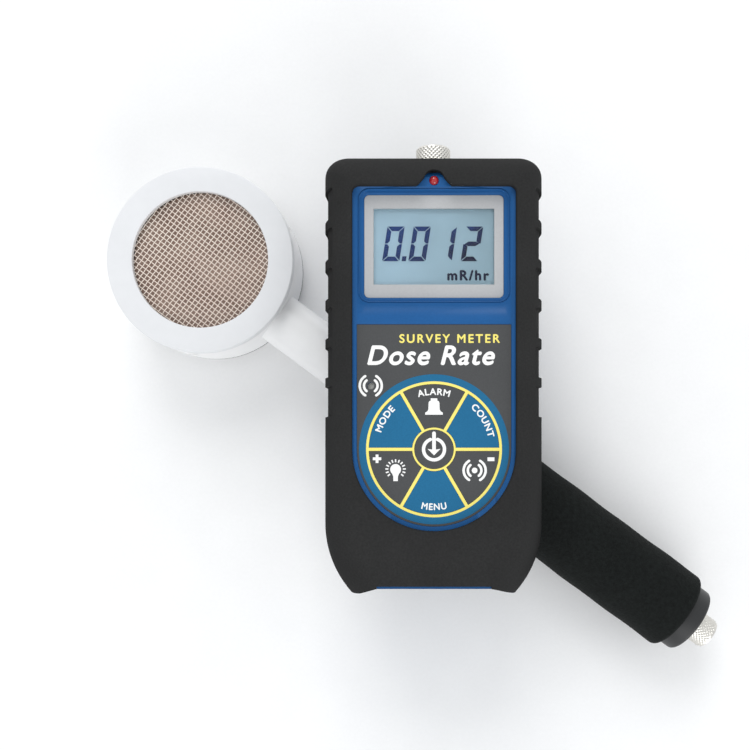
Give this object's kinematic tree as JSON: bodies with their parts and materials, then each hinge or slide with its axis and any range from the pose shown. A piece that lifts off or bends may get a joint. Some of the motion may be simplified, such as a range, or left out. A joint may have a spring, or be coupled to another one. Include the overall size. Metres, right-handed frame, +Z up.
{
  "type": "geiger counter",
  "caption": "Handheld survey meter in a rubber boot with a display and round keypad, lying across the foam grip of its pancake radiation probe.",
  "frame": {"origin": "centre of the whole object's outline, on the surface that the probe lies on", "axes": "+Z up out of the display and the detector window, +Y to the meter's top end with its socket, +X to the meter's right and towards the handle's end"},
  "size_m": [0.2222, 0.1774, 0.0687],
  "materials": {
    "boot_rubber": "moulded matte rubber",
    "case_blue": "moulded ABS with a light grain",
    "seal_rubber": "black sealing rubber",
    "bezel_grey": "painted light grey",
    "window_clear": "clear polished plastic",
    "display_glass": "pale blue-grey reflective display",
    "light_guide": "white light guide",
    "contact_rubber": "striped conductive rubber",
    "circuit_board": "green solder mask",
    "potting": "black moulded epoxy",
    "overlay_grey": "printed polyester sheet",
    "key_grey": "printed polyester sheet",
    "key_blue": "printed polyester sheet",
    "spring_steel": "thin stamped steel",
    "lamp_red": "clear red lens",
    "socket_nickel": "knurled and nickel plated",
    "socket_insulator": "white fluoropolymer",
    "contact_gold": "gold flashed brass",
    "cell_wrap": "printed shrink sleeve",
    "screw_steel": "zinc plated",
    "white_enamel": "white powder coat",
    "mesh_steel": "bright woven wire",
    "cushion_rubber": "soft foam ring",
    "tube_steel": "drawn stainless steel",
    "mica": "thin coated mica",
    "screw_black": "black oxide",
    "grip_foam": "closed-cell foam, fine speckle",
    "cap_black": "moulded nylon",
    "lead_jacket": "black jacket"
  },
  "bodies": {
    "probe": {"head_housing": "white_enamel", "front_ring": "white_enamel", "grille": "mesh_steel", "tube_cushion": "cushion_rubber", "gm_tube": "tube_steel", "mica_window": "mica", "anode_contact": "contact_gold", "tube_board": "circuit_board", "rear_cover": "white_enamel", "cover_gasket": "seal_rubber", "cover_screws": "screw_steel", "set_screws": "screw_black", "neck_tube": "white_enamel", "grip_foam": "grip_foam", "end_cap": "cap_black", "handle_socket_shell": "socket_nickel", "handle_socket_insulator": "socket_insulator", "handle_socket_contact": "contact_gold", "inner_lead": "lead_jacket"},
    "meter": {"boot": "boot_rubber", "front_case": "case_blue", "rear_case": "case_blue", "case_gasket": "seal_rubber", "display_frame": "bezel_grey", "display_lens": "window_clear", "lcd_panel": "display_glass", "backlight": "light_guide", "zebra_strips": "contact_rubber", "main_board": "circuit_board", "hv_module": "potting", "board_chips": "potting", "keypad_overlay": "overlay_grey", "key_domes": "spring_steel", "led_lamp": "lamp_red", "sounder": "spring_steel", "meter_socket_shell": "socket_nickel", "meter_socket_insulator": "socket_insulator", "meter_socket_contact": "contact_gold", "meter_socket_nut": "socket_nickel", "batteries": "cell_wrap", "battery_contacts": "spring_steel", "case_screws": "screw_steel", "board_screws": "screw_steel"},
    "key_power": {"key_power": "key_grey"},
    "key_alarm": {"key_alarm": "key_grey"},
    "key_count": {"key_count": "key_blue"},
    "key_audio": {"key_audio": "key_grey"},
    "key_menu": {"key_menu": "key_blue"},
    "key_light": {"key_light": "key_grey"},
    "key_mode": {"key_mode": "key_blue"},
    "battery_door": {"battery_door": "case_blue"}
  },
  "joints": [
    {"name": "meter_lift", "type": "slide", "parent": "probe", "child": "meter", "axis": [0, 0, 1], "range_m": [0, 0.12]},
    {"name": "power_press", "type": "slide", "parent": "meter", "child": "key_power", "axis": [0, 0, -1], "range_m": [0, 0.00035], "stiffness_N_per_m": 2000},
    {"name": "alarm_press", "type": "slide", "parent": "meter", "child": "key_alarm", "axis": [0, 0, -1], "range_m": [0, 0.00035], "stiffness_N_per_m": 2000},
    {"name": "count_press", "type": "slide", "parent": "meter", "child": "key_count", "axis": [0, 0, -1], "range_m": [0, 0.00035], "stiffness_N_per_m": 2000},
    {"name": "audio_press", "type": "slide", "parent": "meter", "child": "key_audio", "axis": [0, 0, -1], "range_m": [0, 0.00035], "stiffness_N_per_m": 2000},
    {"name": "menu_press", "type": "slide", "parent": "meter", "child": "key_menu", "axis": [0, 0, -1], "range_m": [0, 0.00035], "stiffness_N_per_m": 2000},
    {"name": "light_press", "type": "slide", "parent": "meter", "child": "key_light", "axis": [0, 0, -1], "range_m": [0, 0.00035], "stiffness_N_per_m": 2000},
    {"name": "mode_press", "type": "slide", "parent": "meter", "child": "key_mode", "axis": [0, 0, -1], "range_m": [0, 0.00035], "stiffness_N_per_m": 2000},
    {"name": "battery_door_slide", "type": "slide", "parent": "meter", "child": "battery_door", "axis": [0, -1, 0], "range_m": [0, 0.06]}
  ]
}
